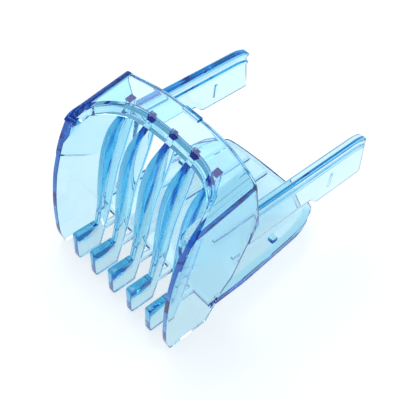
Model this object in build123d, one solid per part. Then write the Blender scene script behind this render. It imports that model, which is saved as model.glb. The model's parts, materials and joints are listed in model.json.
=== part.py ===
from build123d import *
import math
import os

# Guide comb for a hair clipper: one moulding in clear tinted plastic, kept here as its natural features.
# Frame: +X to the comb's right, +Y from the tooth tips to the arm tips, +Z from the skin to the hood.
# The origin is the middle of the base of the bounding box, at skin level. Sizes are in millimetres.

# ---- driving sizes -----------------------------------------------------------------------------
TOOTH_PITCH = 7.0          # spacing of the teeth across the comb
TOOTH_THICK = 1.8          # thickness of one tooth blade
INNER_TEETH = 5            # free teeth; the cheeks' own feet are the outermost two
HOOD_HALF_WIDTH = 21.7     # outer face of the cheeks
WALL = 1.8                 # wall of the hood and the cheeks
HOOD_TOP = 44.7            # height of the hood's crown above the front of the cheeks
HOOD_TOP_AT = 8.3          # Y where HOOD_TOP is measured
HOOD_TILT = 12.5           # degrees that the hood climbs towards the back
CROWN_RISE = 0.8           # how much the hood's top is arched across its width
HOOD_CORNER = 4.0          # outer corner radius between cheek and crown
FRONT_RIM_Y = 14.8         # front rim of the crown on the centre line
FRONT_RIM_SIDE_Y = 8.2     # front rim of the crown beside the cheeks
REAR_RIM_Y = 22.5          # rear rim of the crown on the centre line
REAR_RIM_SIDE_Y = 21.0     # rear rim of the crown over the cheeks
RIM_KNEE_AT = 0.66         # share of the half width where a rim begins to sweep towards the cheeks
RIM_KNEE_SWEEP = 0.28      # share of that sweep reached there
LIP_WIDTH = 2.2            # width of the front lip
BEAD_WIDTH = 1.6           # width of the rear bead
LIP_DROP = 1.7             # how far the front lip hangs below the crown
BEAD_RISE = 0.15           # how far the rear bead stands above the crown
LUG_HALF_WIDTH = 2.6       # catch on the rear bead, half its width
LUG_RISE = 0.45            # how far the catch stands above the bead

FOOT_HEIGHT = 9.3          # height of a tooth's foot
FOOT_NOSE_Y = -1.0         # front face of a foot
FOOT_CORNER = 1.2          # rounding of a foot's front corners
FOOT_HEEL_Y = 6.6          # back end of a foot's sole
FOOT_RAKE = 0.6            # how much further back the sole's front edge is than the nose above it
TOOTH_FRONT_END = 0.6      # from the crown's front rim forward to the top of a tooth's front edge
TOOTH_HEAD = 2.8           # from the crown's front rim back to the end of a tooth's head

CHEEK_SOLE_Y = 12.2        # back end of a cheek's sole
ROOT_SPLIT_Y = 24.0        # plane where the arms leave the cheeks

ARM_TOP = 34.3             # top face of an arm
ARM_DEPTH = 14.6           # height of an arm's web at the tip
ARM_WEB = 1.3              # thickness of an arm's web
ARM_RAIL_WIDTH = 2.3       # width of the rail along the top of an arm
ARM_RAIL_HEIGHT = 1.4      # height of that rail
ARM_LEDGE_DROP = 3.4       # from the arm's top down to its second, lower ledge
ARM_LEDGE_HEIGHT = 1.1     # height of the second ledge
ARM_LEDGE_WIDTH = 2.0      # width of the second ledge
ARM_TIP_Y = 64.4           # lower corner of an arm's tip
ARM_TIP_SLANT = 2.6        # how much shorter the top of the tip is
ARM_STEP_Y = 44.6          # where the web becomes deeper towards the tip
ARM_ROOT_BOTTOM = 22.4     # underside of the web between the cheek and the step
NIB_Y = 51.2               # centre of the click nib on an arm's inner face
NIB_LENGTH = 0.9           # nib length along the arm
NIB_HEIGHT = 4.4           # nib height
NIB_RISE = 0.35            # how far the nib stands out of the web, towards the comb's middle
ARM_INSET = 0.2            # from the cheek's outer face in to the arm's outer face
PANEL_INSET = 0.4          # from the hood's side in to the outer face of the cheek panel below it

PLATE_TOP = 7.0            # upper face of the skin plate
PLATE_THICK = 1.7          # thickness of the skin plate
PLATE_FRONT_Y = 14.4       # front edge of the skin plate
PLATE_REAR_Y = 56.6        # rear edge of the skin plate on the centre line
PLATE_REAR_BOW = 1.4       # how far the rear edge is bowed
PLATE_CORNER_Y = 47.0      # where the plate's sides start to turn in
PLATE_REAR_HALF = 16.4     # half width of the plate at the rear corners
RAIL_WIDTH = 2.0           # width of the plate's side rails
RAIL_RISE = 1.2            # how far the side rails stand above the plate
PLATE_RIB_WIDTH = 0.9      # width of a rib on the plate
PLATE_RIB_RISE = 0.8       # height of a rib on the plate
PLATE_RIB_FRONT_Y = 26.0   # front end of the ribs
PEG_SIZE = 1.8             # side of the square peg on each side of the plate
PEG_Y = 38.5               # centre of the pegs
PEG_RISE = 1.4             # height of the pegs above the plate
PEG_GAP = 0.8              # from a side rail in to its peg
PLATE_STRAIGHT_Y = 30.0    # where the plate's sides start to draw in
PLATE_CORNER_HALF = 20.6   # half width of the plate at PLATE_CORNER_Y
ARM_STEP_RUN = 3.0         # length of the slope under the web at the step

# ---- sizes that follow -------------------------------------------------------------------------
INNER_HALF = HOOD_HALF_WIDTH - WALL
TILT = math.radians(HOOD_TILT)
SLOPE = math.tan(TILT)
ARM_OUTER = HOOD_HALF_WIDTH - ARM_INSET
ARM_BOTTOM = ARM_TOP - ARM_DEPTH
PLATE_BOTTOM = PLATE_TOP - PLATE_THICK
SIDE_DROP = CROWN_RISE + HOOD_CORNER    # from the crown's middle down to the hood's straight sides
SMALLEST_CORNER = 0.2      # least corner radius of an inner face
MARGIN = 2.0               # how far a cutting slab stands past what it cuts
REACH = 120.0              # reach of a cutting block, longer than the comb


def crown_z(y):
    """Height of the crown's outer face on the centre line."""
    return HOOD_TOP + (y - HOOD_TOP_AT) * SLOPE


def side_face(points, curve=None):
    """Face in the YZ plane from straight points, with an optional spline that closes the outline."""
    lines = Polyline([Vector(0, y, z) for y, z in points])
    if curve is None:
        return make_face(lines + Line(lines @ 1, lines @ 0))
    return make_face(lines + Spline([Vector(0, y, z) for y, z in curve]))


def across(face, low, high):
    """Solid of a YZ face between two X positions."""
    return Pos(low, 0, 0) * extrude(face, amount=high - low, dir=(1, 0, 0))


def block(x0, x1, y0, y1, z0, z1):
    """Box from its low and high corners."""
    return Pos((x0 + x1) / 2, (y0 + y1) / 2, (z0 + z1) / 2) * Box(x1 - x0, y1 - y0, z1 - z0)


def above(z, x0=-REACH, x1=REACH):
    """Cutting block that holds all that lies over a height, between two X positions."""
    return block(x0, x1, -REACH, REACH, z, REACH)


def mirrored(shape):
    """The same shape on the comb's other side."""
    return mirror(shape, about=Plane.YZ)


# ---- hood: an arched tube section, sheared along the hood's tilt ----------------------------------
def arch_outline(grow):
    """Filled section of the hood in the XZ plane at HOOD_TOP_AT, its outline moved out by grow."""
    half = HOOD_HALF_WIDTH + grow
    corner = max(HOOD_CORNER + grow, SMALLEST_CORNER)
    side_z = HOOD_TOP - CROWN_RISE + grow - corner
    bend = math.sqrt(0.5) * corner
    right = [Line((half, 0, 0), (half, 0, side_z)),
             ThreePointArc((half, 0, side_z), (half - corner + bend, 0, side_z + bend),
                           (half - corner, 0, side_z + corner))]
    crown = ThreePointArc((half - corner, 0, side_z + corner), (0, 0, HOOD_TOP + grow),
                          (corner - half, 0, side_z + corner))
    left = [mirrored(edge) for edge in right]
    base = Line((-half, 0, 0), (half, 0, 0))
    return make_face(right[0] + right[1] + crown + left[0] + left[1] + base)


def arch_face(grow, thick):
    """Ring from one cheek over the crown to the other: the outline moved out by grow, thick deep."""
    return arch_outline(grow) - arch_outline(grow - thick)


def tube(face):
    """Solid of an XZ face carried along the comb, climbing with the hood and longer than it."""
    low = HOOD_TOP_AT - HOOD_HALF_WIDTH
    start = Pos(0, low, (low - HOOD_TOP_AT) * SLOPE) * face
    climb = (0, math.cos(TILT), math.sin(TILT))
    return extrude(start, amount=2 * HOOD_HALF_WIDTH / math.cos(TILT), dir=climb)


def rim_curve(centre_y, side_y, shift):
    """Plan curve of a rim: flat in the middle and sweeping to side_y at the cheeks."""
    half = HOOD_HALF_WIDTH + MARGIN / 2
    mid = centre_y + shift
    end = side_y + shift
    knee_x = half * RIM_KNEE_AT
    knee_y = mid + (end - mid) * RIM_KNEE_SWEEP
    return Spline([Vector(-half, end, 0), Vector(-knee_x, knee_y, 0), Vector(0, mid, 0),
                   Vector(knee_x, knee_y, 0), Vector(half, end, 0)])


def plan_cutter(curve, far_y, z0):
    """Prism of the plan region between a rim curve and far_y, from z0 up."""
    a = curve @ 0
    b = curve @ 1
    frame = Polyline([b, Vector(b.X, far_y, 0), Vector(a.X, far_y, 0), a])
    return Pos(0, 0, z0) * extrude(make_face(curve + frame), amount=REACH, dir=(0, 0, 1))


CHEEK_FRONT_SHAPE = [(0.4, 0), (-1.0, 0.09), (-1.5, 0.22), (-1.6, 0.38), (-1.0, 0.56), (0.2, 0.69),
                     (1.8, 0.81), (4.4, 0.92), (8.6, 1.0), (12.0, 1.12)]    # Y, share of HOOD_TOP
CHEEK_FRONT = [(y, share * HOOD_TOP) for y, share in CHEEK_FRONT_SHAPE]
SIDE_END_Z = crown_z(REAR_RIM_SIDE_Y) - SIDE_DROP              # top of the hood's side at its rear rim
CHEEK_REAR = [(CHEEK_SOLE_Y, 0), (14.6, 4.6), (16.4, 9.2), (19.2, 12.2), (ROOT_SPLIT_Y + 0.6, 28.3),
              (23.4, 33.5), (REAR_RIM_SIDE_Y, SIDE_END_Z), (REAR_RIM_SIDE_Y + MARGIN, CHEEK_FRONT[-1][1])]

cheek_outline = side_face([CHEEK_FRONT[0]] + CHEEK_REAR + [CHEEK_FRONT[-1]], CHEEK_FRONT)
cheek_slab = across(cheek_outline, -HOOD_HALF_WIDTH - MARGIN, HOOD_HALF_WIDTH + MARGIN)

HOOD_UNDER = crown_z(0) - SIDE_DROP     # below this height the shell is plain cheek
bay_columns = above(0, -INNER_HALF, INNER_HALF)
front_cut = plan_cutter(rim_curve(FRONT_RIM_Y, FRONT_RIM_SIDE_Y, 0), -REACH, 0) & bay_columns
rear_cut = plan_cutter(rim_curve(REAR_RIM_Y, REAR_RIM_SIDE_Y, 0), REACH, SIDE_END_Z)
shell = ((tube(arch_face(0, WALL)) & cheek_slab) - front_cut - rear_cut) & above(0)

crown_zone = above(HOOD_UNDER)
lip_edge = rim_curve(FRONT_RIM_Y, FRONT_RIM_SIDE_Y, LIP_WIDTH)
lip_zone = plan_cutter(lip_edge, -REACH, HOOD_UNDER) & bay_columns
bead_zone = plan_cutter(rim_curve(REAR_RIM_Y, REAR_RIM_SIDE_Y, -BEAD_WIDTH), REACH, SIDE_END_Z)
lug_zone = above(0, -LUG_HALF_WIDTH, LUG_HALF_WIDTH)

lip = (tube(arch_face(0, WALL + LIP_DROP)) & cheek_slab & lip_zone) - front_cut
bead = (tube(arch_face(BEAD_RISE, WALL + BEAD_RISE)) & bead_zone) - rear_cut
lug = (tube(arch_face(LUG_RISE, LUG_RISE - BEAD_RISE)) & bead_zone & lug_zone) - rear_cut
crown = (shell & crown_zone) - lip - bead
cheeks = (shell - crown_zone) - bead - lip

# ---- cheeks: the hood's sides above a curved line, thinner panels down to the skin below it -------
PANEL_TOP = [(ROOT_SPLIT_Y + 2.0, 28.6), (18.5, 25.8), (15.5, 25.0), (11.2, 25.6), (4.4, 29.3),
             (-4.0, 35.0)]
panel_below = [PANEL_TOP[-1], (PANEL_TOP[-1][0], -MARGIN), (PANEL_TOP[0][0], -MARGIN), PANEL_TOP[0]]
panel_slab = across(side_face(panel_below, PANEL_TOP), 0, REACH)
right_cheek = cheeks & above(0, 0)
right_side = right_cheek - panel_slab
right_panel = (right_cheek & panel_slab) & above(0, 0, HOOD_HALF_WIDTH - PANEL_INSET)

# ---- teeth ----------------------------------------------------------------------------------------
LIP_UNDER = crown_z(FRONT_RIM_Y) - WALL - LIP_DROP     # the front lip's underside in the middle
HEAD_END_Y = FRONT_RIM_Y + TOOTH_HEAD
BLADE_FRONT_SHAPE = [(5.9, 0), (6.8, 0.17), (7.1, 0.43), (7.9, 0.67), (8.8, 0.79), (10.6, 0.90),
                     (FRONT_RIM_Y - TOOTH_FRONT_END, 0.99)]    # Y, and share of the way from foot to lip
BLADE_FRONT = [(y, FOOT_HEIGHT + share * (LIP_UNDER - FOOT_HEIGHT)) for y, share in BLADE_FRONT_SHAPE]
BLADE_REAR_SHAPE = [(HEAD_END_Y, 1.0), (16.6, 0.83), (14.4, 0.67), (12.2, 0.53), (10.8, 0.39),
                    (9.4, 0.23), (FOOT_HEEL_Y, 0)]    # Y, and share of the crown's height over the head
BLADE_REAR = [(y, share * crown_z(HEAD_END_Y)) for y, share in BLADE_REAR_SHAPE]


def tooth_outline():
    """Side view of a tooth: a square-nosed foot and a blade that sweeps up into the hood's wall."""
    foot = [(FOOT_HEEL_Y, 0), (FOOT_NOSE_Y + FOOT_RAKE, 0), (FOOT_NOSE_Y, FOOT_HEIGHT), BLADE_FRONT[0]]
    nose = FilletPolyline([Vector(0, y, z) for y, z in foot], radius=FOOT_CORNER)
    front = Spline([Vector(0, y, z) for y, z in BLADE_FRONT])
    head_y = FRONT_RIM_Y + LIP_WIDTH / 2
    head = Polyline([front @ 1, Vector(0, head_y, LIP_UNDER + LIP_DROP / 2),
                     Vector(0, head_y, crown_z(head_y)), Vector(0, HEAD_END_Y, crown_z(HEAD_END_Y))])
    rear = Spline([Vector(0, y, z) for y, z in BLADE_REAR])
    return make_face(nose + front + head + rear)


bay = tube(arch_outline(-WALL))
blade = tooth_outline()


def tooth(x0, x1):
    """Tooth between two X positions, cut where it meets the crown and its lip."""
    return (across(blade, x0, x1) & bay) - lip


half_tooth = TOOTH_THICK / 2
middle = (INNER_TEETH - 1) / 2
inner_teeth = [tooth((i - middle) * TOOTH_PITCH - half_tooth, (i - middle) * TOOTH_PITCH + half_tooth)
               for i in range(INNER_TEETH)]

# ---- skin plate: it joins the cheeks' rear edges and carries rails, ribs and pegs -----------------
plate_sides = [Vector(HOOD_HALF_WIDTH, PLATE_FRONT_Y, 0), Vector(HOOD_HALF_WIDTH, PLATE_STRAIGHT_Y, 0),
               Vector(PLATE_CORNER_HALF, PLATE_CORNER_Y, 0),
               Vector(PLATE_REAR_HALF, PLATE_REAR_Y - PLATE_REAR_BOW, 0)]


def plate_face(inset):
    """Plan outline of the skin plate, moved in by inset at its sides and its rear edge."""
    right = [p + Vector(-inset, 0, 0) for p in plate_sides]
    right[-1] += Vector(0, -inset, 0)
    left = [Vector(-p.X, p.Y, 0) for p in right]
    rear = ThreePointArc(right[-1], Vector(0, PLATE_REAR_Y - inset, 0), left[-1])
    return make_face(Polyline(right) + rear + Polyline(left) + Line(left[0], right[0]))


def on_plate(face, low, high):
    """Solid of a plan face between two heights above the skin plate's underside."""
    return Pos(0, 0, PLATE_BOTTOM + low) * extrude(face, amount=high - low, dir=(0, 0, 1))


right_slab = across(cheek_outline, INNER_HALF, HOOD_HALF_WIDTH)
cheek_pair = right_slab + mirrored(right_slab)
plate = on_plate(plate_face(0), 0, PLATE_THICK) - cheek_pair
rail_plan = plate_face(0) - plate_face(RAIL_WIDTH)
rails = on_plate(rail_plan, PLATE_THICK, PLATE_THICK + RAIL_RISE) - cheek_pair
rail_end = PLATE_REAR_Y - PLATE_REAR_BOW - RAIL_WIDTH
right_rail = rails & block(0, HOOD_HALF_WIDTH, PLATE_FRONT_Y, rail_end, 0, HOOD_TOP)
plate_ribs = []
fingers = []
for i in range(INNER_TEETH):
    rib_x = (i - middle) * TOOTH_PITCH
    plate_ribs.append(block(rib_x - PLATE_RIB_WIDTH / 2, rib_x + PLATE_RIB_WIDTH / 2, PLATE_RIB_FRONT_Y,
                            rail_end, PLATE_TOP, PLATE_TOP + PLATE_RIB_RISE))
    finger = block(rib_x - half_tooth, rib_x + half_tooth, 0, PLATE_FRONT_Y, PLATE_BOTTOM, PLATE_TOP)
    finger -= across(blade, -HOOD_HALF_WIDTH, HOOD_HALF_WIDTH)
    behind_foot = block(-HOOD_HALF_WIDTH, HOOD_HALF_WIDTH, FOOT_HEEL_Y, PLATE_FRONT_Y, 0, HOOD_TOP)
    fingers.append(finger & behind_foot)
side_lean = (HOOD_HALF_WIDTH - PLATE_CORNER_HALF) / (PLATE_CORNER_Y - PLATE_STRAIGHT_Y)
side_at_peg = HOOD_HALF_WIDTH - side_lean * (PEG_Y + PEG_SIZE / 2 - PLATE_STRAIGHT_Y)
peg_x = side_at_peg - RAIL_WIDTH - PEG_GAP - PEG_SIZE / 2
right_peg = block(peg_x - PEG_SIZE / 2, peg_x + PEG_SIZE / 2, PEG_Y - PEG_SIZE / 2, PEG_Y + PEG_SIZE / 2,
                  PLATE_TOP, PLATE_TOP + PEG_RISE)

# ---- arms: thin webs flush with the cheeks, stiffened by a rail and a ledge ------------------------
ARM_START_Y = CHEEK_SOLE_Y
tip_lean = ARM_TIP_SLANT / ARM_DEPTH


def tip_y(z):
    """Y of the tip's end face at a height."""
    return ARM_TIP_Y - (z - ARM_BOTTOM) * tip_lean


web_outline = side_face([(ARM_START_Y, ARM_TOP), (ARM_START_Y, ARM_ROOT_BOTTOM),
                         (ARM_STEP_Y, ARM_ROOT_BOTTOM), (ARM_STEP_Y + ARM_STEP_RUN, ARM_BOTTOM),
                         (tip_y(ARM_BOTTOM), ARM_BOTTOM), (tip_y(ARM_TOP), ARM_TOP)])
cheek_cut = across(cheek_outline, 0, HOOD_HALF_WIDTH + MARGIN)
right_web = across(web_outline, ARM_OUTER - ARM_WEB, ARM_OUTER) - cheek_cut


def arm_shelf(top, height, width):
    """Long rail on the inside of the web, its end slanted like the tip."""
    outline = side_face([(ARM_START_Y, top), (ARM_START_Y, top - height),
                         (tip_y(top - height), top - height), (tip_y(top), top)])
    return across(outline, ARM_OUTER - width, ARM_OUTER - ARM_WEB) - cheek_cut


right_arm_rail = arm_shelf(ARM_TOP, ARM_RAIL_HEIGHT, ARM_RAIL_WIDTH)
ledge_top = ARM_TOP - ARM_LEDGE_DROP
right_arm_ledge = arm_shelf(ledge_top, ARM_LEDGE_HEIGHT, ARM_LEDGE_WIDTH)
nib_z = (ARM_BOTTOM + ledge_top - ARM_LEDGE_HEIGHT) / 2
nib_outline = side_face([(NIB_Y - NIB_LENGTH / 2, nib_z - NIB_HEIGHT / 2),
                         (NIB_Y + NIB_LENGTH / 2, nib_z - NIB_HEIGHT / 2),
                         (NIB_Y + NIB_LENGTH / 2, nib_z + NIB_HEIGHT / 2),
                         (NIB_Y - NIB_LENGTH / 2, nib_z + NIB_HEIGHT / 2)])
web_inside = ARM_OUTER - ARM_WEB
right_nib = across(nib_outline, web_inside - NIB_RISE, web_inside)

# ---- nodes ----------------------------------------------------------------------------------------
nodes = {"hood_crown": crown, "hood_front_lip": lip, "hood_rear_bead": bead, "hood_catch": lug,
         "skin_plate": plate}
sided = {"hood_side": right_side, "cheek_panel": right_panel,
         "plate_rail": right_rail, "plate_peg": right_peg, "arm_web": right_web,
         "arm_rail": right_arm_rail, "arm_ledge": right_arm_ledge, "arm_nib": right_nib}
for name, shape in sided.items():
    nodes["right_" + name] = shape
    nodes["left_" + name] = mirrored(shape)
for i in range(INNER_TEETH):
    nodes["comb_tooth_%d" % (i + 1)] = inner_teeth[i]
    nodes["plate_rib_%d" % (i + 1)] = plate_ribs[i]
    nodes["tooth_finger_%d" % (i + 1)] = fingers[i]

middle_y = (ARM_TIP_Y + cheek_slab.bounding_box().min.Y) / 2
os.makedirs("parts", exist_ok=True)
for name, shape in nodes.items():
    export_step(Pos(0, -middle_y, 0) * shape, "parts/" + name + ".step")
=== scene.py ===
"""Clear blue guide comb of a hair clipper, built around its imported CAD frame."""
import json
import math

import bmesh
import bpy
import numpy as np
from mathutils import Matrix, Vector


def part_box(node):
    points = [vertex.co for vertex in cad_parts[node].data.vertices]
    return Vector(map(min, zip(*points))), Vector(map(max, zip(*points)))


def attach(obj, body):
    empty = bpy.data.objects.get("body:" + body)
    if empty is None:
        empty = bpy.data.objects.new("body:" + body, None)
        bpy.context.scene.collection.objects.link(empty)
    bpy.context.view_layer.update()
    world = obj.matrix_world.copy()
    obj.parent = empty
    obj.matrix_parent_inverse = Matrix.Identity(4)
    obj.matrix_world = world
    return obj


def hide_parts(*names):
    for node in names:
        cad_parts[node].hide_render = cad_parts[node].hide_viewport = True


bl_info = {
    "name": "Clipper guide comb",
    "version": (1, 0, 0),
    "blender": (4, 5, 0),
    "location": "3D View > Sidebar > Guide comb",
    "description": "Builds a clear moulded guide comb on its CAD frame",
    "category": "Add Mesh",
}

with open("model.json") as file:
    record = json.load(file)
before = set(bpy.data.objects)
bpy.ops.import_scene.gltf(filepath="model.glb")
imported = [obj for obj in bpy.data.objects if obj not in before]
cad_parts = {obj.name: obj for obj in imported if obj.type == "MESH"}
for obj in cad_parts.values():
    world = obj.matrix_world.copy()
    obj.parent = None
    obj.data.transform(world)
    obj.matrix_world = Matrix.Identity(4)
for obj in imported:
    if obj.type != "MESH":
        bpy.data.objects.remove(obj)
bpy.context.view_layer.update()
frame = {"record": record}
MM = 1000.0


def cad(node):
    """Low and high corners of a CAD node, in millimetres."""
    low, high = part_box(node)
    return np.array(low) * MM, np.array(high) * MM


# The shapes below are worked out in millimetres with Y = 0 just behind the front of the feet, as the
# CAD's own sizes are. SHIFT_Y moves them to the frame's origin, and IN_SHAPE moves a node's corner back.
ARM_TIP_Y = 64.4
SHIFT_Y = cad("right_arm_web")[1][1] - ARM_TIP_Y
IN_SHAPE = np.array([0, -SHIFT_Y, 0])
TOOTH_COUNT = 5
TEETH = [cad("comb_tooth_%d" % (i + 1)) for i in range(TOOTH_COUNT)]
HALF = cad("right_hood_side")[1][0]
WALL = HALF - cad("right_hood_side")[0][0]
PANEL_INSET = HALF - cad("right_cheek_panel")[1][0]
PLATE = [corner + IN_SHAPE for corner in cad("skin_plate")]
RAIL_TOP = cad("right_plate_rail")[1][2]
ARM_WEB, ARM_RAIL, ARM_LEDGE = (cad("right_arm_" + part) for part in ("web", "rail", "ledge"))


# ---- numpy shapes ---------------------------------------------------------------------------------
LARGEST_CORNER = 0.45       # most of a side that a corner's rounding may take


def spline(points, count=120):
    """Catmull-Rom curve: cubic stretches that pass each point in the direction of its two neighbours."""
    p = np.asarray(points, float)
    p = np.vstack([2 * p[0] - p[1], p, 2 * p[-1] - p[-2]])
    t = np.linspace(0, len(points) - 1, count)
    k = np.minimum(t.astype(int), len(points) - 2)
    u = (t - k)[:, None]
    a, b, c, d = p[k], p[k + 1], p[k + 2], p[k + 3]
    square = (2 * a - 5 * b + 4 * c - d) * u ** 2
    cube = (3 * b - a - 3 * c + d) * u ** 3
    return 0.5 * (2 * b + (c - a) * u + square + cube)


def corner_arcs(points, radius, steps=5):
    """Closed outline with round corners: each is a quadratic arc between two points beside the corner."""
    p = np.asarray(points, float)
    before = np.roll(p, 1, axis=0) - p
    after = np.roll(p, -1, axis=0) - p
    reach_before = np.linalg.norm(before, axis=1, keepdims=True)
    reach_after = np.linalg.norm(after, axis=1, keepdims=True)
    r = np.broadcast_to(np.asarray(radius, float).reshape(-1, 1), (len(p), 1))
    start = p + before / reach_before * np.minimum(r, reach_before * LARGEST_CORNER)
    end = p + after / reach_after * np.minimum(r, reach_after * LARGEST_CORNER)
    t = np.linspace(0, 1, steps)[None, :, None]
    arcs = (1 - t) ** 2 * start[:, None] + 2 * t * (1 - t) * p[:, None] + t ** 2 * end[:, None]
    return arcs.reshape(-1, p.shape[1])


def inset(outline, distance):
    """The closed outline moved inwards: each point goes along the mean of its two side normals."""
    p = np.asarray(outline, float)
    d = np.roll(p, -1, axis=0) - p
    area = 0.5 * np.sum(p[:, 0] * np.roll(p[:, 1], -1) - np.roll(p[:, 0], -1) * p[:, 1])
    n = np.stack([-d[:, 1], d[:, 0]], 1) * np.sign(area)
    n /= np.maximum(np.linalg.norm(n, axis=1, keepdims=True), 1e-9)
    m = n + np.roll(n, 1, axis=0)
    m /= np.maximum(np.sum(m * n, axis=1, keepdims=True), 0.35)
    return p + m * distance


def thin_out(outline, gap=0.02):
    """The outline without points that lie nearer than gap to the one before."""
    p = np.asarray(outline, float)
    keep = np.linalg.norm(p - np.roll(p, 1, axis=0), axis=1) > gap
    return p[keep]


def rounded_slab(outline, low, high, radius, axis, steps=4):
    """Rings of a slab: the outline shrinks by a quarter circle at both faces, which rounds its edges."""
    outline = thin_out(outline)
    angle = np.linspace(0, math.pi / 2, steps)
    shrink = radius * (1 - np.sin(angle))
    depth = radius * (1 - np.cos(angle))
    levels = np.concatenate([low + depth, high - depth[::-1]])
    shrinks = np.concatenate([shrink, shrink[::-1]])
    rings = np.empty((len(levels), len(outline), 3))
    others = [i for i in range(3) if i != axis]
    for ring, level, amount in zip(rings, levels, shrinks):
        ring[:, others] = inset(outline, amount)
        ring[:, axis] = level
    return rings


def lofted(name, rings):
    """Closed mesh through rings of equal length, with a flat face on the first ring and on the last."""
    n, m, _ = rings.shape
    grid = np.arange(n * m).reshape(n, m)
    quads = np.stack([grid[:-1], np.roll(grid[:-1], -1, 1), np.roll(grid[1:], -1, 1), grid[1:]], -1)
    faces = quads.reshape(-1, 4).tolist() + [grid[0][::-1].tolist(), grid[-1].tolist()]
    points = rings.reshape(-1, 3) - IN_SHAPE
    mesh = bpy.data.meshes.new(name)
    mesh.from_pydata((points / MM).tolist(), [], faces)
    obj = bpy.data.objects.new(name, mesh)
    bpy.context.scene.collection.objects.link(obj)
    outward(mesh)
    return obj


def outward(mesh):
    """Turns a closed mesh's faces outwards by the sign of its volume."""
    bm = bmesh.new()
    bm.from_mesh(mesh)
    bmesh.ops.recalc_face_normals(bm, faces=bm.faces)
    if bm.calc_volume(signed=True) < 0:
        bmesh.ops.reverse_faces(bm, faces=bm.faces)
    bm.to_mesh(mesh)
    bm.free()


def mirrored(rings):
    """The same rings on the comb's other side."""
    return rings * np.array([-1, 1, 1])


def fused(name, parts, sharp_deg=28):
    """One closed mesh that is the union of overlapping closed parts."""
    body = parts[0]
    for other in parts[1:]:
        step = body.modifiers.new("union", "BOOLEAN")
        step.operation = "UNION"
        step.solver = "MANIFOLD"
        step.object = other
    bpy.context.view_layer.update()
    graph = bpy.context.evaluated_depsgraph_get()
    mesh = bpy.data.meshes.new_from_object(body.evaluated_get(graph))
    for part in parts:
        bpy.data.objects.remove(part)
    if not mesh.polygons:
        raise RuntimeError(name + " came out empty")
    mesh.name = name
    mesh.shade_smooth()
    mesh.set_sharp_from_angle(angle=math.radians(sharp_deg))
    obj = bpy.data.objects.new(name, mesh)
    bpy.context.scene.collection.objects.link(obj)
    return obj


# ---- hood and cheeks ------------------------------------------------------------------------------
HOOD_TOP, HOOD_TOP_AT = 44.7, 8.3       # height of the crown's middle and the Y where it has that height
CROWN_RISE, HOOD_CORNER = 0.8, 4.0      # arch of the crown and corner radius on the right
LEFT_RISE, LEFT_CORNER = 0.35, 2.6      # the left shoulder is moulded a little squarer than the right
HOOD_TILT = 12.5        # degrees that the hood climbs towards the back
BEVEL_SLOPE = 0.8       # height of the bevel along the hood's front, by its length
LIP_END = 0.45          # share of the cheek above its panel where the lip fades out
LIP_FADE = 0.7          # power of the way along that fade
LIP_TOP = 0.7           # depth of the lip's buried top, by the wall
LIP_SUNK = 0.9          # least depth of the lip's underside, by the wall
LIP_BEHIND = 0.03       # from the hood's front face back to the lip's
LIP_EDGE = 0.12         # rounding of the lip's corners
SLOPE = math.tan(math.radians(HOOD_TILT))
SIDE_Z = HOOD_TOP - CROWN_RISE - HOOD_CORNER
# Side outlines of a cheek as Y and Z, and the curved line over its thinner panel.
CHEEK_FRONT = [(0.4, 0), (-1.0, 4.0), (-1.5, 10.0), (-1.6, 17.0), (-1.0, 25.0), (0.2, 31.0), (1.7, 36.1),
               (3.8, 40.9)]
CHEEK_REAR = [(12.2, 0), (14.6, 4.6), (16.4, 9.2), (19.2, 12.2), (24.6, 28.3), (23.4, 33.5), (21.0, 42.7)]
PANEL_TOP = [(-4.0, 35.0), (4.4, 29.3), (11.2, 25.6), (15.5, 25.0), (18.5, 25.8), (24.6, 28.3),
             (26.0, 29.2)]
PANEL_EDGE = 0.985      # share of a panel's height where its top edge steps out to the hood's side
# Y of the crown's front and rear edge at distances around the section, from a corner's start on.
CORNER_KNOTS = [0.0, 2.2, 4.4, 6.4, 8.8, 11.8, 15.8, 24.0]
FRONT_KNOTS = [3.2, 5.2, 8.2, 10.6, 12.4, 13.8, 14.5, 14.8]
REAR_KNOTS = [21.0, 20.7, 20.6, 20.9, 21.4, 21.9, 22.3, 22.5]


def hood_rows(corner, rise, cheek_rows=18, corner_rows=14, crown_rows=20):
    """Rows of one half from the sole to the middle: kind, share, X, Z, normal and distance around.

    The crown is a flat arc of height rise, and a round corner leads from it to the straight cheek."""
    lean = 2 * math.atan(rise / (HALF - corner))
    side_z = HOOD_TOP - rise - corner
    below = [("low", t) for t in np.append(np.linspace(0, PANEL_EDGE, cheek_rows), 1.0)]
    above = [("high", t) for t in np.linspace(0, 1, cheek_rows)[:-1]]
    rows = [(kind, t, HALF, side_z, 1.0, 0.0, 0.0) for kind, t in below + above]
    for angle in np.linspace(0, math.pi / 2 - lean, corner_rows):
        x = HALF - corner + corner * math.cos(angle)
        z = side_z + corner * math.sin(angle)
        rows.append(("top", 0.0, x, z, math.cos(angle), math.sin(angle), corner * angle))
    radius = x / math.sin(lean)
    for share in np.linspace(1, 0, crown_rows)[1:]:
        tilt = lean * share
        rows.append(("top", 0.0, radius * math.sin(tilt), HOOD_TOP - radius * (1 - math.cos(tilt)),
                     math.sin(tilt), math.cos(tilt), corner * angle + radius * (lean - tilt)))
    return rows


def row_height(kind, share, base, y):
    """Height of a row at each Y: panels follow the curved line, higher rows lean with the hood."""
    line = np.interp(y, *spline(PANEL_TOP).T)
    lean = (y - HOOD_TOP_AT) * SLOPE
    if kind == "low":
        return share * line
    if kind == "high":
        return line + share * (base + lean - line)
    return base + lean


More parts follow.
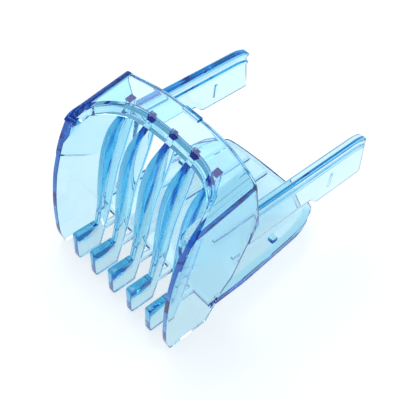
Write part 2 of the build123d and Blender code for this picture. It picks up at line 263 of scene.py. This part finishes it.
def edge_y(kind, share, base, along, curve, knots):
    """Y of the front or rear edge of one row.

    On the crown it is a smooth curve of the distance around. On a cheek the row's height and the edge's Y
    depend on each other, so each pass moves Y half the way to where the edge has the row's height."""
    if kind == "top":
        fine = spline(np.stack([CORNER_KNOTS, knots], 1))
        return float(np.interp(along, fine[:, 0], fine[:, 1]))
    y = curve[len(curve) // 2][0]
    ys, zs = np.array(curve, float).T
    for _ in range(40):
        z = row_height(kind, share, base, np.array([y]))[0]
        y = 0.5 * y + 0.5 * float(np.interp(z, zs, ys))
    return y


def hood_half(corner, rise, bevel, edge):
    """Rings across the hood's depth, carried from a sole around one half of the arch to its middle.

    Each ring runs back over the outer face, round the rear edge, forward over the inner face and up the
    bevelled front. Along it, y is the place along the comb and h the height over the outer face."""
    front_curve = spline(CHEEK_FRONT, 60)
    face = np.linspace(0, 1, 26)
    quarter = np.linspace(0, math.pi / 2, 5)[1:]
    rings = []
    for kind, share, x, z0, nx, nz, along in hood_rows(corner, rise):
        front = edge_y(kind, share, z0, along, front_curve, FRONT_KNOTS)
        rear = edge_y(kind, share, z0, along, CHEEK_REAR, REAR_KNOTS)
        cut = edge + (bevel - edge) * (min(1.0, along / corner) if kind == "top" else 0.0)
        inner_y = front + edge + (rear - edge - front - edge) * face[::-1]
        y = np.concatenate([front + cut + (rear - edge - front - cut) * face,
                            rear - edge + edge * np.sin(quarter),
                            rear - edge + edge * np.cos(quarter),
                            inner_y[1:],
                            front + edge - edge * np.sin(quarter),
                            np.linspace(front, front + cut, 5)[:-1]])
        h = np.concatenate([np.zeros(len(face)),
                            edge * np.cos(quarter) - edge,
                            edge - WALL - edge * np.sin(quarter),
                            np.full(len(face) - 1, -WALL),
                            edge - WALL - edge * np.cos(quarter),
                            np.linspace(-cut * BEVEL_SLOPE, 0, 5)[:-1]])
        if kind == "low":
            step = PANEL_INSET * min(1.0, (1 - share) / (1 - PANEL_EDGE))
            h = np.where(h > -PANEL_INSET, np.minimum(h, -step), h)
        z = row_height(kind, share, z0, y)
        rings.append(np.stack([x + nx * h, y, z + nz * h], 1))
    return np.array(rings)


def both_halves(half_rings, *sizes):
    """Rings of the whole arch, from the sole of one side to the other's."""
    right = half_rings(HOOD_CORNER, CROWN_RISE, *sizes)
    left = half_rings(LEFT_CORNER, LEFT_RISE, *sizes)
    return np.concatenate([mirrored(left)[:-1], right[::-1]])


def lip_half(corner, rise, drop, width):
    """Rings of the lip under the hood's front edge; it fades out down the cheek.

    Its section is a box with round corners whose top is sunk in the wall."""
    rings = []
    front_curve = spline(CHEEK_FRONT, 60)
    for kind, share, x, z0, nx, nz, along in hood_rows(corner, rise):
        if kind == "low" or (kind == "high" and share < LIP_END):
            continue
        fade = 1.0 if kind == "top" else ((share - LIP_END) / (1 - LIP_END)) ** LIP_FADE
        start = edge_y(kind, share, z0, along, front_curve, FRONT_KNOTS) + LIP_BEHIND
        end = start - LIP_BEHIND + width
        top = -LIP_TOP * WALL
        foot = -(LIP_SUNK * WALL + (drop + (1 - LIP_SUNK) * WALL) * fade)
        box = corner_arcs([(start, top), (end, top), (end, foot), (start, foot)], LIP_EDGE, 4)
        y, h = box.T
        z = row_height(kind, share, z0, y)
        rings.append(np.stack([x + nx * h, y, z + nz * h], 1))
    return np.array(rings)


# ---- teeth ----------------------------------------------------------------------------------------
# Side outline of a tooth as Y and Z: the foot's nose, and the two edges of the blade over it.
FOOT = [(-0.4, 0.0), (-1.0, 9.3)]
BLADE_FRONT = [(5.9, 9.3), (6.8, 15.0), (7.1, 23.6), (7.9, 31.3), (8.8, 35.2), (10.6, 39.0), (14.4, 42.2)]
BLADE_REAR = [(17.6, 46.6), (16.6, 39.4), (14.4, 32.0), (12.2, 25.0), (10.8, 18.3), (9.4, 11.0),
              (6.6, 0.0)]
BLADE_TOP = (0.9, 0.7)      # step back and up from the front edge's end to the tooth's upright top
FOOT_EDGES = (0.3, 0.5)     # rounding where the foot's sole ends and where its top meets the blade
ROOF_DEPTH = 0.8            # how deep in the hood's wall a tooth ends


def roof_height(x):
    """Height, at HOOD_TOP_AT, of the middle of the hood's wall over a place across the comb."""
    start = HALF - HOOD_CORNER
    if x < start:
        return HOOD_TOP - CROWN_RISE * (x / start) ** 2 - ROOF_DEPTH
    return SIDE_Z + math.sqrt(HOOD_CORNER ** 2 - (x - start) ** 2) - ROOF_DEPTH


def tooth_outline(foot_corner, x):
    """Side view of a tooth: a square foot whose nose is rounded, and a blade between two smooth curves.

    Its top ends inside the hood's wall."""
    front = spline(BLADE_FRONT, 40)
    rear = spline(BLADE_REAR, 44)
    radii = [FOOT_EDGES[0], foot_corner, foot_corner, FOOT_EDGES[1]]
    foot = corner_arcs([rear[-1], FOOT[0], FOOT[1], front[0]], radii, 6)
    top = front[-1] + BLADE_TOP
    outline = np.concatenate([foot, front[3:], [top, (top[0], HOOD_TOP * 2)], rear[:-3]])
    outline[:, 1] = np.minimum(outline[:, 1], roof_height(x) + (outline[:, 0] - HOOD_TOP_AT) * SLOPE)
    return outline


def bar(low, high, radius):
    """Rings of an upright block with rounded edges between two corners."""
    (x0, y0, z0), (x1, y1, z1) = low, high
    plan = corner_arcs([(x0, y0), (x1, y0), (x1, y1), (x0, y1)], radius, 4)
    return rounded_slab(plan, z0, z1, radius, 2)


def node_bar(node, radius, low_by=(0, 0, 0), high_by=(0, 0, 0)):
    """The block of a CAD node's box, with its corners moved so that it sinks into its neighbours."""
    low, high = cad(node)
    return bar(low + IN_SHAPE + low_by, high + IN_SHAPE + high_by, radius)


# ---- arms -----------------------------------------------------------------------------------------
ARM_ROOT_Y = 23.0           # about where an arm leaves its cheek
ARM_STEP = (44.6, 47.6)     # Y of both ends of the slope under the web
ARM_ROOT_BOTTOM = 22.4      # underside of the web before that slope
ARM_TIP_SLANT = 2.6         # how much shorter the top of the tip is
ARM_END_EDGE = 0.12         # rounding around the tip's end face
ARM_SHARES = np.concatenate([np.linspace(0, 0.02, 3), np.linspace(0.05, 0.88, 34),
                             np.linspace(0.9, 1, 18)])


def arm_rings(clearance, edge, tip_drop, tip_length):
    """Rings of an arm's section, a web with a rail and a ledge, from the cheek's rear edge to the tip.

    The section's underside steps down towards the tip, and the tip leans back and its top curves down
    by the square of the way along the tip."""
    (x0, _, z0), (x1, _, z1) = ARM_WEB
    (rail_x, _, rail_z), _ = ARM_RAIL
    (ledge_x, _, ledge_z0), (_, _, ledge_z1) = ARM_LEDGE
    rear_y, rear_z = np.array(CHEEK_REAR, float).T
    rings = []
    for share in ARM_SHARES:
        nominal = ARM_ROOT_Y + share * (ARM_TIP_Y - ARM_ROOT_Y)
        bottom = np.interp(nominal, ARM_STEP, (ARM_ROOT_BOTTOM, z0))
        section = corner_arcs([(x1, bottom), (x1, z1), (rail_x, z1), (rail_x, rail_z), (x0, rail_z),
                               (x0, ledge_z1), (ledge_x, ledge_z1), (ledge_x, ledge_z0), (x0, ledge_z0),
                               (x0, bottom)], edge, 4)
        x, z = inset(section, ARM_END_EDGE * (share == 1)).T
        up = (z - z0) / (z1 - z0)
        root = np.interp(z, rear_z, rear_y) + clearance
        y = root + share * (ARM_TIP_Y - up * ARM_TIP_SLANT - root)
        ease = np.clip((nominal - (ARM_TIP_Y - tip_length)) / tip_length, 0, 1) ** 2
        rings.append(np.stack([x, y, z - tip_drop * ease * np.clip(up, 0, 1)], 1))
    return np.array(rings)


# ---- settings -------------------------------------------------------------------------------------
class CombSizes(bpy.types.PropertyGroup):
    """Roundings and small offsets of the moulding, in millimetres."""
    edge: bpy.props.FloatProperty(name="Edge", description="Rounding of the wall's edges", default=0.2)
    bevel: bpy.props.FloatProperty(name="Bevel", description="Bevel along the hood's front", default=0.9)
    tooth_edge: bpy.props.FloatProperty(name="Tooth edge", description="Rounding of a tooth",
                                        default=0.15)
    foot_corner: bpy.props.FloatProperty(name="Foot corner", description="Rounding of a foot",
                                         default=0.9)
    lip_drop: bpy.props.FloatProperty(name="Lip drop", description="Depth of the front lip", default=1.7)
    lip_width: bpy.props.FloatProperty(name="Lip width", description="Width of the front lip",
                                       default=2.2)
    plate_edge: bpy.props.FloatProperty(name="Plate edge", description="Rounding of the plate",
                                        default=0.8)
    arm_edge: bpy.props.FloatProperty(name="Arm edge", description="Rounding of an arm", default=0.3)
    arm_gap: bpy.props.FloatProperty(name="Arm gap", description="Gap at an arm's root", default=0.02)
    tip_drop: bpy.props.FloatProperty(name="Tip drop", description="Fall of an arm's tip", default=1.1)
    tip_length: bpy.props.FloatProperty(name="Tip length", description="Length of that fall",
                                        default=5.5)


class CombLook(bpy.types.PropertyGroup):
    """Colour and clarity of the plastic and the colour of the stage."""
    tint: bpy.props.StringProperty(name="Tint", description="Colour that thick plastic turns to",
                                   default="00DCF5")
    density: bpy.props.FloatProperty(name="Density", description="Absorption per metre", default=250.0)
    ior: bpy.props.FloatProperty(name="IOR", description="Refraction of polycarbonate", default=1.55)
    roughness: bpy.props.FloatProperty(name="Roughness", description="Polish of the mould", default=0.02)
    floor: bpy.props.StringProperty(name="Floor", description="Colour of the floor", default="DADAD9")
    floor_glow: bpy.props.FloatProperty(name="Floor glow", description="Light from the white board",
                                        default=0.88)
    sky: bpy.props.StringProperty(name="Sky", description="Colour of the soft light all around",
                                  default="C6D6E4")
    sky_light: bpy.props.FloatProperty(name="Sky light", description="Strength of that light",
                                       default=0.8)


def linear(code):
    """Linear colour of an sRGB hex code."""
    c = np.array([int(code[i:i + 2], 16) / 255 for i in (0, 2, 4)])
    return tuple(np.where(c <= 0.04045, c / 12.92, ((c + 0.055) / 1.055) ** 2.4)) + (1.0,)


def node(tree, kind, settings=None, **links):
    """Adds a shader node, sets its sockets and properties, and links its inputs."""
    made = tree.nodes.new(kind)
    for key, value in (settings or {}).items():
        if key in made.inputs:
            made.inputs[key].default_value = value
        else:
            setattr(made, key, value)
    for key, source in links.items():
        tree.links.new(source, made.inputs[key.replace("_", " ")])
    return made


def polycarbonate():
    """Clear polycarbonate, moulded against polished steel and tinted blue.

    It is clear and glossy, its walls are pale, and long ways through it turn deep blue at every edge.
    The faint ripple, about 10 mm long and 0.12 mm high, is the flow and sink of such a moulding."""
    look = bpy.context.scene.comb_look
    made = bpy.data.materials.new("clear_blue_polycarbonate")
    made.use_nodes = True
    tree = made.node_tree
    tree.nodes.clear()
    place = node(tree, "ShaderNodeTexCoord")
    ripple = node(tree, "ShaderNodeTexNoise", {"Scale": 95.0, "Detail": 1.0, "Roughness": 0.4},
                  Vector=place.outputs["Object"])
    bump = node(tree, "ShaderNodeBump", {"Strength": 0.15, "Distance": 0.00012},
                Height=ripple.outputs["Fac"])
    shader = node(tree, "ShaderNodeBsdfPrincipled",
                  {"Base Color": (1.0, 1.0, 1.0, 1.0), "Roughness": look.roughness, "IOR": look.ior,
                   "Transmission Weight": 1.0}, Normal=bump.outputs["Normal"])
    depth = node(tree, "ShaderNodeVolumeAbsorption",
                 {"Color": linear(look.tint), "Density": look.density})
    node(tree, "ShaderNodeOutputMaterial", None, Surface=shader.outputs["BSDF"],
         Volume=depth.outputs["Volume"])
    return made


def plastic():
    """The one polycarbonate that all pieces are moulded in, made when it is first asked for."""
    return bpy.data.materials.get("clear_blue_polycarbonate") or polycarbonate()


def finish_piece(obj, body, replaced):
    """Gives a finished piece its plastic and its place in the frame."""
    obj.data.materials.clear()
    obj.data.materials.append(plastic())
    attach(obj, body)
    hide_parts(*replaced)


# ---- skin plate -----------------------------------------------------------------------------------
PLATE_FRONT, PLATE_REAR, PLATE_TOP = PLATE[0][1], PLATE[1][1], PLATE[1][2]
REAR_BOW = 1.4              # how far the plate's rear edge is bowed
REAR_HALF = 16.4            # half width of the ellipse that the rear edge is part of
REAR_FROM = 0.35            # angle in radians from which that ellipse is used
# The plate's right side from front to rear as X and Y, and the rounding at each of its points.
PLATE_SIDE = [(HALF, PLATE_FRONT - 2.0), (HALF, 24.0), (20.1, 47.0), (16.6, PLATE_REAR - REAR_BOW)]
SIDE_RADII = [0.1, 3.0, 3.0, 1.2]
REAR_RADIUS = 0.6
RIM_WIDTHS = (0.985, 0.91)  # the rear rim's outer edge by the plate's, and its inner edge by its outer
RIM_STEPS = (0.15, 1.5)     # how far forward each of these two edges is moved
RIM_LOW, RIM_RISE, RIM_EDGE = 0.9, 0.5, 0.4     # from the plate's top down and up, and its rounding
# Outer edge of the right side rail as X and Y.
RAIL_LINE = [(HALF - 0.15, PLATE_FRONT + 0.2), (HALF - 0.2, 24.0), (19.9, 46.4),
             (17.4, PLATE_REAR - 3.6)]
RAIL_WIDTH, RAIL_LOW, RAIL_EDGE = 2.0, 0.6, 0.3
RIB_EDGE, PEG_EDGE, CATCH_EDGE = 0.2, 0.15, 0.3
SINK = 0.4                  # how deep a rib, peg or nib is rooted in its wall
CATCH_SINK = 0.8            # how deep the catch is rooted in the crown
RIB_RUN = 1.2               # how far a rib runs into the plate's rear rim
FINGER_LOW, FINGER_HIGH = (0.15, -0.8, 0.1), (-0.15, 1.2, -0.1)     # a finger runs into foot and plate


def rear_points():
    """Points of the plate's rear edge, which is part of an ellipse."""
    angles = np.linspace(REAR_FROM, math.pi - REAR_FROM, 9)
    return [(REAR_HALF * math.cos(a), PLATE_REAR - REAR_BOW + REAR_BOW * math.sin(a)) for a in angles]


def plate_slab(plate_edge):
    """Rings of the plate: sides that draw in and a bowed rear edge, with all corners rounded."""
    rear = rear_points()
    left = [(-x, y) for x, y in PLATE_SIDE[::-1]]
    radii = SIDE_RADII + [REAR_RADIUS] * len(rear) + SIDE_RADII[::-1]
    plan = corner_arcs(PLATE_SIDE + rear + left, radii, 6)
    return rounded_slab(plan, PLATE[0][2], PLATE_TOP, plate_edge, 2)


def rear_rim():
    """Rings of the low rim along the plate's rear corners and rear edge."""
    right = PLATE_SIDE[2:]
    line = np.array(right + rear_points() + [(-x, y) for x, y in right[::-1]])
    outer = line * [RIM_WIDTHS[0], 1] - [0, RIM_STEPS[0]]
    inner = outer * [RIM_WIDTHS[1], 1] - [0, RIM_STEPS[1]]
    plan = np.concatenate([outer, inner[::-1]])
    return rounded_slab(plan, PLATE_TOP - RIM_LOW, PLATE_TOP + RIM_RISE, RIM_EDGE, 2)


def side_rail():
    """Rings of the right side rail: a strip of even width along a smooth line."""
    outer = spline(RAIL_LINE, 30)
    plan = np.concatenate([outer, (outer - [RAIL_WIDTH, 0])[::-1]])
    return rounded_slab(plan, PLATE_TOP - RAIL_LOW, RAIL_TOP, RAIL_EDGE, 2)


def plate_parts(plate_edge):
    """Closed parts of the skin plate: plate, rim, rails, ribs and pegs, and the teeth's fingers."""
    rail = side_rail()
    parts = [lofted("plate", plate_slab(plate_edge)), lofted("rear_rim", rear_rim()),
             lofted("rail", rail), lofted("rail", mirrored(rail))]
    for i in range(1, TOOTH_COUNT + 1):
        rib = node_bar("plate_rib_%d" % i, RIB_EDGE, (0, 0, -SINK), (0, RIB_RUN, 0))
        finger = node_bar("tooth_finger_%d" % i, RIB_EDGE, FINGER_LOW, FINGER_HIGH)
        parts += [lofted("rib", rib), lofted("finger", finger)]
    for side in ("left", "right"):
        parts.append(lofted("peg", node_bar(side + "_plate_peg", PEG_EDGE, (0, 0, -SINK))))
    return parts


# ---- operators ------------------------------------------------------------------------------------
class COMB_OT_moulding(bpy.types.Operator):
    """Hood, cheeks, teeth and skin plate, which are one moulding"""
    bl_idname = "comb.moulding"
    bl_label = "Moulding"

    def execute(self, context):
        sizes = context.scene.comb_sizes
        parts = [lofted("hood", both_halves(hood_half, sizes.bevel, sizes.edge)),
                 lofted("lip", both_halves(lip_half, sizes.lip_drop, sizes.lip_width))]
        for low, high in TEETH:
            outline = tooth_outline(sizes.foot_corner, max(abs(low[0]), high[0]))
            parts.append(lofted("tooth", rounded_slab(outline, low[0], high[0], sizes.tooth_edge, 0)))
        parts += plate_parts(sizes.plate_edge)
        parts.append(lofted("catch", node_bar("hood_catch", CATCH_EDGE, (0, 0, -CATCH_SINK))))
        comb = fused("comb_moulding", parts)
        finish_piece(comb, "comb", frame["record"]["behaviour"]["bodies"]["comb"])
        return {"FINISHED"}


class COMB_OT_arms(bpy.types.Operator):
    """The two side arms, which bend outwards from their roots"""
    bl_idname = "comb.arms"
    bl_label = "Arms"

    def execute(self, context):
        sizes = context.scene.comb_sizes
        rings = arm_rings(sizes.arm_gap, sizes.arm_edge, sizes.tip_drop, sizes.tip_length)
        nib = node_bar("right_arm_nib", PEG_EDGE, high_by=(SINK, 0, 0))
        for side, turn in (("right", lambda r: r), ("left", mirrored)):
            arm = fused(side + "_arm", [lofted("arm", turn(rings)), lofted("nib", turn(nib))])
            finish_piece(arm, side + "_arm", frame["record"]["behaviour"]["bodies"][side + "_arm"])
        return {"FINISHED"}


# Lamps in metres: name, place, side of the square and power. They all face AIM.
LAMPS = (("overhead", (-0.28, 0.12, 0.60), 0.30, 0.7), ("left", (-0.7, -0.25, 0.35), 0.35, 0.25),
         ("right", (0.55, 0.45, 0.5), 0.3, 0.25))
AIM = Vector((0, 0, 0.022))
FLOOR_REACH, FLOOR_Z = 3.0, -0.0002
EYE_MM = (80.82, -64.43 + SHIFT_Y, 156.24)
EYE_DEGREES = (40.66, -5.23, 47.19)
LENS = 66.43
BOUNCES = 64        # light turns many times inside clear walls before it leaves them


class COMB_OT_stage(bpy.types.Operator):
    """Floor, soft light and camera"""
    bl_idname = "comb.stage"
    bl_label = "Stage"

    def execute(self, context):
        scene = context.scene
        look = scene.comb_look
        mesh = bpy.data.meshes.new("floor")
        corners = [(-1, -1), (1, -1), (1, 1), (-1, 1)]
        mesh.from_pydata([(x * FLOOR_REACH, y * FLOOR_REACH, FLOOR_Z) for x, y in corners], [],
                         [(0, 1, 2, 3)])
        floor = bpy.data.objects.new("floor", mesh)
        scene.collection.objects.link(floor)
        paint = bpy.data.materials.new("matt_white_board")
        paint.use_nodes = True
        board = paint.node_tree.nodes["Principled BSDF"]
        board.inputs["Base Color"].default_value = linear(look.floor)
        board.inputs["Emission Color"].default_value = linear(look.floor)
        board.inputs["Emission Strength"].default_value = look.floor_glow
        board.inputs["Roughness"].default_value = 0.9
        board.inputs["Specular IOR Level"].default_value = 0.0
        mesh.materials.append(paint)
        world = bpy.data.worlds.new("studio")
        world.use_nodes = True
        world.node_tree.nodes["Background"].inputs["Color"].default_value = linear(look.sky)
        world.node_tree.nodes["Background"].inputs["Strength"].default_value = look.sky_light
        scene.world = world
        for name, place, size, power in LAMPS:
            lamp = bpy.data.lights.new(name, "AREA")
            lamp.size = size
            lamp.energy = power
            box = bpy.data.objects.new(name, lamp)
            box.location = place
            box.rotation_euler = (AIM - Vector(place)).to_track_quat("-Z", "Y").to_euler()
            scene.collection.objects.link(box)
        camera = bpy.data.cameras.new("camera")
        camera.sensor_width = 36.0
        camera.lens = LENS
        camera.clip_start = 0.01
        eye = bpy.data.objects.new("camera", camera)
        eye.location = Vector(EYE_MM) / MM
        eye.rotation_euler = [math.radians(angle) for angle in EYE_DEGREES]
        scene.collection.objects.link(eye)
        scene.camera = eye
        scene.view_settings.view_transform = "Standard"
        scene.cycles.max_bounces = BOUNCES
        scene.cycles.transmission_bounces = BOUNCES
        scene.cycles.glossy_bounces = BOUNCES
        return {"FINISHED"}


class COMB_PT_panel(bpy.types.Panel):
    """Lists the pieces of the comb"""
    bl_idname = "COMB_PT_panel"
    bl_label = "Guide comb"
    bl_space_type = "VIEW_3D"
    bl_region_type = "UI"
    bl_category = "Guide comb"

    def draw(self, context):
        for settings in (context.scene.comb_sizes, context.scene.comb_look):
            for name in settings.__annotations__:
                self.layout.prop(settings, name)
        for operator in OPERATORS:
            self.layout.operator(operator.bl_idname)


OPERATORS = (COMB_OT_moulding, COMB_OT_arms, COMB_OT_stage)
CLASSES = (CombSizes, CombLook) + OPERATORS + (COMB_PT_panel,)


def register():
    for cls in CLASSES:
        bpy.utils.register_class(cls)
    bpy.types.Scene.comb_sizes = bpy.props.PointerProperty(type=CombSizes)
    bpy.types.Scene.comb_look = bpy.props.PointerProperty(type=CombLook)


def unregister():
    del bpy.types.Scene.comb_look
    del bpy.types.Scene.comb_sizes
    for cls in reversed(CLASSES):
        bpy.utils.unregister_class(cls)


def main():
    register()
    bpy.ops.comb.moulding()
    bpy.ops.comb.arms()
    bpy.ops.comb.stage()


if __name__ == "__main__":
    main()
